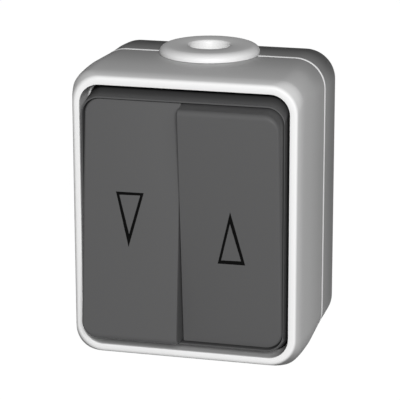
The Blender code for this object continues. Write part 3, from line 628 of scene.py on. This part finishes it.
def make_base():
    """Rear shell with its back wall, fixing slots, screw pillars and half of the cable entry."""
    front_y = SPLIT_Y + SPLIT_HALF_GAP + SPLIT_CLEARANCE
    inner = WIDEST * MM - WALL
    share = 1 + front_y / DEPTH
    edge = 0.25 * MM
    last = smooth_offset(share)
    sections = [
        (front_y, opening_outline(last - edge, SPLIT_TIGHT)),
        (front_y + edge, opening_outline(last, SPLIT_TIGHT)),
    ]
    sections += shell_sections(share + 0.02, 1.0, 14)
    sections += [
        (0.0, opening_outline(2.65 * MM)),
        (0.0, opening_outline(-3.9 * MM)),
        (0.0, opening_outline(-4.0 * MM)),
        (-0.3 * MM, opening_outline(-4.6 * MM)),
        (-0.3 * MM, opening_outline(-4.75 * MM)),
    ]
    base = loft("base_shell", sections)
    hollow = loft("hollow", [
        (front_y - 4 * MM, opening_outline(inner)),
        (-BACK_WALL - 1.2 * MM, opening_outline(inner)),
        (-BACK_WALL - 0.35 * MM, opening_outline(inner - 0.35 * MM)),
        (-BACK_WALL, opening_outline(inner - 1.2 * MM)),
    ])
    carve(base, hollow)
    hole, post, painted_floor_shade = 1.35 * MM, 3.2 * MM, -1.9 * MM
    screw_x, screw_z = HOOD_SCREW
    # X and Z of each pillar and Y of its front end, in mm
    pillars = (
        (-20.9, 0.0, -31.8), (20.9, 0.0, -31.8),
        (-screw_x, screw_z, -33.4), (screw_x, -screw_z, -33.4),
    )
    for x, z, end in pillars:
        pillar = turned("pillar", (
            (hole, end * MM), (post - 0.2 * MM, end * MM), (post, (end + 0.2) * MM), (post, -4.8 * MM),
            (4.0 * MM, painted_floor_shade), (hole, painted_floor_shade)), (x * MM, 0, z * MM), "Y", 48)
        carve(base, pillar, "UNION")
    narrow, wide = 2.2 * MM, 4.0 * MM
    for z, half_x, half_z in ((-26 * MM, wide, narrow), (26 * MM, narrow, wide)):
        slot = outline(-half_x, half_x, z - half_z, z + half_z, (narrow - 0.01 * MM,) * 4, 12)
        carve(base, loft("slot", [(-4 * MM, slot), (1 * MM, slot)]))
    carve(base, entry_tool())
    dress(base, base_plastic, "housing", "base_box")


def make_housing_seal():
    """Thin ring in the split, whose outer face leans forward."""
    outer = 3.56 * MM
    inner = outer - 1.9 * MM
    half = SPLIT_HALF_GAP + 0.05 * MM
    front, back = SPLIT_Y - half, SPLIT_Y + half
    profile = (
        (front, outer - 0.36 * MM), (back - 0.12 * MM, outer - 0.03 * MM), (back - 0.04 * MM, outer),
        (back, outer - 0.08 * MM), (back, inner), (front, inner),
    )
    sections = [(y, opening_outline(offset, SPLIT_TIGHT)) for y, offset in profile]
    seal = loft("housing_seal_ring", sections, ring_closed=True)
    carve(seal, entry_tool())
    dress(seal, seal_pale, "housing", "housing_seal")


def make_grommet():
    """Turned cable sleeve with a rounded shoulder, a flat ring on top and an open bore."""
    inner_top, inner_bottom = 38.47 * MM, 36.87 * MM
    low, top = 40.95 * MM, 43.38 * MM
    rim, flat, bore = 14.12 * MM, 11.5 * MM, 5.8 * MM
    neck, flange = 9.5 * MM, 12.0 * MM
    profile = [
        (bore, inner_bottom + 0.3 * MM), (bore + 0.3 * MM, inner_bottom), (flange - 0.4 * MM, inner_bottom),
        (flange, inner_bottom + 0.4 * MM), (flange, inner_top), (neck, inner_top), (neck, low),
        (rim - 0.3 * MM, low), (rim - 0.05 * MM, low + 0.12 * MM), (rim, low + 0.4 * MM),
    ]
    shoulder = low + 0.6 * MM
    steps = 12
    for k in range(1, steps + 1):
        a = math.pi / 2 * k / steps
        profile.append((flat + (rim - flat) * math.cos(a), shoulder + (top - shoulder) * math.sin(a)))
    profile += [(bore + 0.7 * MM, top), (bore + 0.25 * MM, top - 0.12 * MM), (bore, top - 0.6 * MM)]
    sleeve = turned("cable_sleeve", profile, (-0.2 * MM, SPLIT_Y, 0), steps=128, sharp=50)
    dress(sleeve, entry_plastic, "housing", "cable_grommet")


def side_plate(name, x0, radius, root_y, forward):
    """Plate standing across the axle, rounded about it; it rounds towards the front if forward is -1."""
    bm = bmesh.new()
    steps = 20
    points = [(root_y, -radius), (root_y, radius)]
    for k in range(steps + 1):
        a = math.pi * k / steps
        points.append((forward * radius * math.sin(a), radius * math.cos(a)))
    sides = [[bm.verts.new((x, y, z)) for y, z in points] for x in (x0, x0 + SIDE_PLATE)]
    bm.faces.new(sides[0])
    bm.faces.new(list(reversed(sides[1])))
    for k in range(len(points)):
        m = (k + 1) % len(points)
        bm.faces.new((sides[0][k], sides[1][k], sides[1][m], sides[0][m]))
    return to_object(name, bm)


def rod(name, radius, x0, x1, y=0.0):
    """Round rod along X."""
    return turned(name, ((0, x0), (radius, x0), (radius, x1), (0, x1)), (0, y, 0), "X", 32)


def make_collar():
    """Fixed collar round both rockers, with the bridge and the axle's ears."""
    side, end = 0.4 * MM, 0.48 * MM
    front_y, foot_y = RIM_Y - 2.6 * MM, RIM_Y + 7.1 * MM
    sections = [
        (foot_y, collar_outline(0, 0)),
        (front_y + 0.12 * MM, collar_outline(0, 0)),
        (front_y, collar_outline(0.08 * MM, 0.1 * MM)),
        (front_y, collar_outline(side - 0.15 * MM, end - 0.15 * MM)),
        (front_y + 0.05 * MM, collar_outline(side - 0.05 * MM, end - 0.05 * MM)),
        (front_y + 0.2 * MM, collar_outline(side, end + 0.02 * MM)),
        (RIM_Y + 3.0 * MM, collar_outline(side, end + 1.5 * MM)),
        (RIM_Y + 6.5 * MM, collar_outline(side, end + 1.5 * MM)),
        (RIM_Y + 6.6 * MM, collar_outline(0.2 * MM, 3.1 * MM)),
        (foot_y, collar_outline(0.2 * MM, 3.1 * MM)),
    ]
    collar = loft("rocker_collar", sections, ring_closed=True)
    half_length, half_height = 28.0 * MM, 6.2 * MM
    plank = outline(-half_length, half_length, -half_height, half_height, (0.3 * MM,) * 4, 2)
    bridge = loft("bridge", [(RIM_Y + 3.2 * MM, plank), (RIM_Y + 5.2 * MM, plank)])
    radius, front, back = 3.55 * MM, RIM_Y + 2 * MM, RIM_Y + 6.5 * MM
    for sign in (-1, 1):
        hole = turned("hole", ((0, front), (radius, front), (radius, back), (0, back)),
                      (sign * FINGER_X, 0, 0), "Y", 48)
        carve(bridge, hole)
    carve(collar, bridge, "UNION")
    ear_radius, ear_root, axle_hole = 1.9 * MM, 3.7 * MM, 1.05 * MM
    for x0 in (-26.4 * MM, -3.15 * MM, 1.65 * MM, 24.9 * MM):
        ear = side_plate("ear", x0, ear_radius, ear_root, -1)
        ear.data.transform(Matrix.Translation((0, RIM_Y, 0)))
        carve(collar, ear, "UNION")
    carve(collar, rod("bore", axle_hole, -half_length, half_length, RIM_Y))
    dress(collar, collar_plastic, "housing", "rocker_frame")


def rocker_outline(sign, raised, split, outer=None, sunk=None):
    """Rocker's outline, set in by different amounts at its raised end, split, outer edge and sunk end."""
    outer = raised if outer is None else outer
    sunk = raised if sunk is None else sunk
    far, near = ROCKER_OUTER[sign] - outer, ROCKER_SPLIT + split
    raised_round, sunk_round = (max(ROCKER_CORNER - inset, 0.4 * MM) for inset in (raised, sunk))
    split_round, steps = 0.35 * MM, 14
    if sign > 0:
        radii = (raised_round, split_round, split_round, sunk_round)
        return outline(near, far, sunk - ROCKER_HALF, ROCKER_HALF - raised, radii, steps)
    radii = (split_round, sunk_round, raised_round, split_round)
    return outline(-far, -near, raised - ROCKER_HALF, ROCKER_HALF - sunk, radii, steps)


def seat_rocker(sign):
    """Place of a rocker's own frame: on the axle, tilted to its latched position."""
    return Matrix.Translation((0, RIM_Y, 0)) @ Matrix.Rotation(sign * TILT, 4, "X")


def make_rocker(sign, side):
    """Hollow rocker cap with a rounded edge, bearing lugs and the finger behind it."""
    face, fillet = -ROCKER_FACE, 1.25 * MM
    raised_fillet, split_fillet, outer_fillet, sunk_fillet = 1.6 * MM, 0.25 * MM, 0.8 * MM, 0.4 * MM
    back = face + 7.0 * MM
    under = face + 1.8 * MM
    wall = 1.2 * MM
    sections = [
        (under, rocker_outline(sign, 1.7 * MM, 1.5 * MM)),
        (under + 0.6 * MM, rocker_outline(sign, wall, wall)),
        (back, rocker_outline(sign, wall, wall)),
        (back, rocker_outline(sign, 0.1 * MM, 0.1 * MM)),
        (back - 0.1 * MM, rocker_outline(sign, 0, 0)),
    ]
    steps = 12
    for k in range(steps + 1):
        a = math.pi / 2 * k / steps
        inward = 1 - math.cos(a)
        fillets = [r * inward for r in (raised_fillet, split_fillet, outer_fillet, sunk_fillet)]
        sections.append((face + fillet * (1 - math.sin(a)), rocker_outline(sign, *fillets)))
    cap = loft("rocker_cap_" + side, sections, sharp=40)
    bore, finger, floor, end = 1.7 * MM, 2.6 * MM, 3.6 * MM, 13.0 * MM
    root = under - 0.4 * MM
    carve(cap, turned("finger", (
        (bore, floor), (bore, end), (finger - 0.3 * MM, end), (finger, end - 0.3 * MM),
        (finger, under + 1.6 * MM), (3.6 * MM, root), (0.5 * MM, root), (0.5 * MM, floor),
    ), (sign * FINGER_X, 0, 0), "Y", 48), "UNION")
    lug_radius, axle_hole = 2.2 * MM, 1.1 * MM
    for x0 in (3.45 * MM, 23.1 * MM):
        left = x0 if sign > 0 else -x0 - SIDE_PLATE
        carve(cap, side_plate("lug", left, lug_radius, root, 1), "UNION")
    pin = rod("pin", axle_hole, 2.9 * MM, 25.2 * MM)
    if sign < 0:
        pin.data.transform(Matrix.Rotation(math.pi, 4, "Z"))
    carve(cap, pin)
    cap.data.transform(seat_rocker(sign))
    dress(cap, rocker_plastic, "rocker_" + side, "rocker_" + side)


def make_arrow(sign, side, outer, inner):
    """Outlined triangle printed on a rocker's face; corners are (x, z) on the face in mm."""
    bm = bmesh.new()
    lift = -ROCKER_FACE - 0.03 * MM
    depth = 0.05 * MM
    rings = []
    for corners in (outer, inner):
        for y in (lift, lift + depth):
            rings.append([bm.verts.new((x * MM, y, z * MM)) for x, z in corners])
    front_out, back_out, front_in, back_in = rings
    for k in range(3):
        m = (k + 1) % 3
        bm.faces.new((front_out[k], front_out[m], front_in[m], front_in[k]))
        bm.faces.new((back_out[k], back_in[k], back_in[m], back_out[m]))
        bm.faces.new((front_out[k], back_out[k], back_out[m], front_out[m]))
        bm.faces.new((front_in[k], front_in[m], back_in[m], back_in[k]))
    arrow = to_object("arrow_" + side, bm)
    arrow.data.transform(seat_rocker(sign))
    dress(arrow, arrow_ink, "rocker_" + side)


def screw_recipe(finish):
    """Pan-head screw with a cross recess, a rolled thread and a tapered end; its head looks along +Z."""
    recipe = Recipe("pan_screw", head_radius=2.7 * MM, head_height=1.5 * MM, core_radius=0.92 * MM,
                    length=9 * MM, thread_pitch=0.9 * MM, recess_width=0.7 * MM, recess_depth=0.9 * MM,
                    quarter_turns=1.0)
    size = recipe.sizes
    place = recipe.add("GeometryNodeInputPosition", {})
    flat = recipe.add("ShaderNodeVectorMath", {"operation": "MULTIPLY"}, place, (1.0, 1.0, 0.0))
    reach = recipe.add("ShaderNodeVectorMath", {"operation": "LENGTH"}, flat, output="Value")
    height = recipe.add("ShaderNodeSeparateXYZ", {}, place, output="Z")

    head = recipe.add("GeometryNodeMeshCylinder", {"fill_type": "TRIANGLE_FAN"}, Vertices=48, Side_Segments=3,
                      Fill_Segments=6, Radius=size["head_radius"], Depth=size["head_height"])
    upper = recipe.add("ShaderNodeMath", {"operation": "GREATER_THAN"}, height, 0.0)
    sink = 0.45 * size["head_height"] * (reach / size["head_radius"]) ** 4.0 * upper
    head = recipe.add("GeometryNodeSetPosition", {}, Geometry=head, Offset=recipe.vector(z=0 - sink))
    head = recipe.lifted(head, 0.5 * size["head_height"])
    bar_length = 1.15 * size["head_radius"]
    deep = 2.0 * size["recess_depth"]
    cut = {"operation": "DIFFERENCE", "solver": "EXACT"}
    for length, width in ((bar_length, size["recess_width"]), (size["recess_width"], bar_length)):
        bar = recipe.add("GeometryNodeMeshCube", {}, Size=recipe.vector(length, width, deep))
        bar = recipe.lifted(bar, size["head_height"])
        head = recipe.add("GeometryNodeMeshBoolean", cut, head, bar)

    shank = recipe.add("GeometryNodeMeshCylinder", {}, Vertices=32, Side_Segments=14, Fill_Segments=1,
                       Radius=size["core_radius"], Depth=size["length"])
    end = -0.5 * size["length"]
    slender = 0.25 + 0.75 * (height - end).ramp(-0.5 * MM, 1.4 * MM)
    narrow = recipe.vector(slender, slender, 1.0)
    narrow = recipe.add("ShaderNodeVectorMath", {"operation": "MULTIPLY"}, place, narrow)
    shank = recipe.add("GeometryNodeSetPosition", {}, Geometry=shank, Position=narrow)
    shank = recipe.lifted(shank, end)

    run = size["length"] - 1.7 * size["core_radius"]
    coil = recipe.add("GeometryNodeCurveSpiral", {}, Resolution=20, Rotations=run / size["thread_pitch"],
                      Start_Radius=size["core_radius"], End_Radius=size["core_radius"], Height=run)
    ridge = recipe.add("GeometryNodeCurvePrimitiveCircle", {}, Resolution=4,
                       Radius=0.28 * size["thread_pitch"])
    thread = recipe.add("GeometryNodeCurveToMesh", {}, Curve=coil, Profile_Curve=ridge, Fill_Caps=True)
    thread = recipe.lifted(thread, size["core_radius"] - size["length"])

    screw = recipe.add("GeometryNodeJoinGeometry", {}, Geometry=[head, shank, thread])
    recipe.repeat(screw, recipe.vector(math.pi / 2 * size["quarter_turns"]), finish)
    return recipe


def make_screws():
    """Hood, insert and terminal screws, each set at its solids' places.

    A set is a name, its solids, the head's quarter turns from up, and in mm the head's height, the core's
    radius, the thread's pitch and the recess's width.
    """
    recipe = screw_recipe(zinc_steel)
    hood_screws = ("hood_screw_left", "hood_screw_right")
    insert_screws = ("insert_screw_left", "insert_screw_right")
    terminal_screws = ("terminal_screw_down", "terminal_screw_up", "terminal_screw_line")
    sets = (
        ("hood_screws", hood_screws, 1.0, 1.5, 0.92, 0.9, 0.7),
        ("insert_screws", insert_screws, 1.0, 1.5, 0.92, 0.9, 0.7),
        ("terminal_screws", terminal_screws, -1.0, 1.4, 0.95, 0.6, 0.5),
    )
    for name, nodes, quarter_turns, head, core, pitch, recess in sets:
        boxes = [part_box(node) for node in nodes]
        low, high = boxes[0]
        under_head = [b[0][1] + head * MM if quarter_turns > 0 else b[1][1] - head * MM for b in boxes]
        places = [((b[0][0] + b[1][0]) / 2, y, (b[0][2] + b[1][2]) / 2) for b, y in zip(boxes, under_head)]
        screws = recipe.make(name, places, {
            "head_radius": (high[0] - low[0]) / 2, "head_height": head * MM, "core_radius": core * MM,
            "length": high[1] - low[1] - head * MM, "thread_pitch": pitch * MM,
            "recess_width": recess * MM, "recess_depth": 0.6 * head * MM, "quarter_turns": quarter_turns})
        dress(screws, zinc_steel, "housing", *nodes)


def dress_inner_solids():
    """Finish the inner solids, whose shapes stay as they are."""
    finishes = (
        (plunger_plastic, ("plunger_left", "plunger_right")),
        (zinc_steel, ("rocker_axle", "plunger_spring_left", "plunger_spring_right")),
        (black_steel, ("support_plate",)),
        (contact_brass, ("contact_lever_left", "contact_lever_right", "fixed_contact_left",
                         "fixed_contact_right", "common_bar", "clamp_down", "clamp_up", "clamp_line",
                         "rivet_upper", "rivet_lower")),
        (insert_plastic, ("block_cover", "contact_block")),
        (black_rubber, ("fixing_seal_upper", "fixing_seal_lower", "frame_seal")),
    )
    for finish, names in finishes:
        for name in names:
            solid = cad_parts[name]
            if not solid.material_slots:
                solid.data.materials.append(finish)
            for slot in solid.material_slots:
                slot.material = finish


def make_floor():
    """White floor that keeps a soft shadow and throws little light back on the switch."""
    bm = bmesh.new()
    bmesh.ops.create_grid(bm, x_segments=1, y_segments=1, size=6.0)
    bmesh.ops.translate(bm, vec=(0, 0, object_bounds()[0][2] - 0.2 * MM), verts=bm.verts)
    floor = to_object("studio_floor", bm)
    paint = bpy.data.materials.new("floor_white")
    drop = Backdrop(paint)
    seen, mirrored = drop.ray("Is Camera Ray"), drop.ray("Is Glossy Ray")
    plain = drop.add("ShaderNodeBsdfDiffuse", {}, 0.25 + 0.55 * seen)
    glow = drop.add("ShaderNodeEmission", {}, Strength=1.2)
    mix = drop.add("ShaderNodeMixShader", {}, 0.8 * seen.larger(mirrored), plain, glow)
    drop.add("ShaderNodeOutputMaterial", {}, mix)
    floor.data.materials.append(paint)


def make_surroundings():
    """Surroundings that look white and light the switch only faintly."""
    world = bpy.data.worlds.new("studio_air")
    bpy.context.scene.world = world
    drop = Backdrop(world)
    soft = drop.add("ShaderNodeBackground", {}, (1, 1, 1, 1), WORLD_LIGHT)
    white = drop.add("ShaderNodeBackground", {}, (1, 1, 1, 1), 1.0)
    mix = drop.add("ShaderNodeMixShader", {}, drop.ray("Is Camera Ray"), soft, white)
    drop.add("ShaderNodeOutputWorld", {}, mix)


def make_lamps():
    """Round lamps that the camera doesn't see; only the large ones show in reflections."""
    aim = Vector((0, -30 * MM, 0))
    for name, place, size, power in LAMPS:
        light = bpy.data.lights.new(name, "AREA")
        light.shape = "DISK"
        light.size = size
        light.energy = power
        lamp = bpy.data.objects.new(name, light)
        lamp.location = place
        lamp.rotation_euler = (aim - Vector(place)).to_track_quat("-Z", "Y").to_euler()
        lamp.visible_camera = False
        lamp.visible_glossy = size > 0.5
        bpy.context.scene.collection.objects.link(lamp)


def make_camera():
    """Camera of the photograph."""
    scene = bpy.context.scene
    scene.view_settings.view_transform = "Standard"
    lens = bpy.data.cameras.new("studio_camera")
    lens.sensor_width = 36.0
    lens.lens = FOCAL_PIXELS * lens.sensor_width / PICTURE_PIXELS
    lens.clip_start = 0.01
    camera = bpy.data.objects.new("studio_camera", lens)
    place, aim = Vector(CAMERA_PLACE), Vector(CAMERA_AIM)
    turn = (aim - place).to_track_quat("-Z", "Y").to_matrix().to_4x4()
    camera.matrix_world = Matrix.Translation(place) @ turn @ Matrix.Rotation(CAMERA_ROLL, 4, "Z")
    scene.collection.objects.link(camera)
    scene.camera = camera


make_hood()
make_base()
make_housing_seal()
make_grommet()
make_collar()
make_rocker(-1, "left")
make_rocker(1, "right")
make_arrow(-1, "left", ((-17.98, 8.13), (-10.14, 8.18), (-14.18, -7.03)),
           ((-17.03, 7.31), (-11.12, 7.45), (-14.09, -3.45)))
make_arrow(1, "right", ((14.31, 5.80), (10.53, -9.47), (18.2, -9.42)),
           ((14.19, 2.38), (11.53, -8.47), (17.08, -8.31)))
make_screws()
dress_inner_solids()
make_floor()
make_surroundings()
make_lamps()
make_camera()
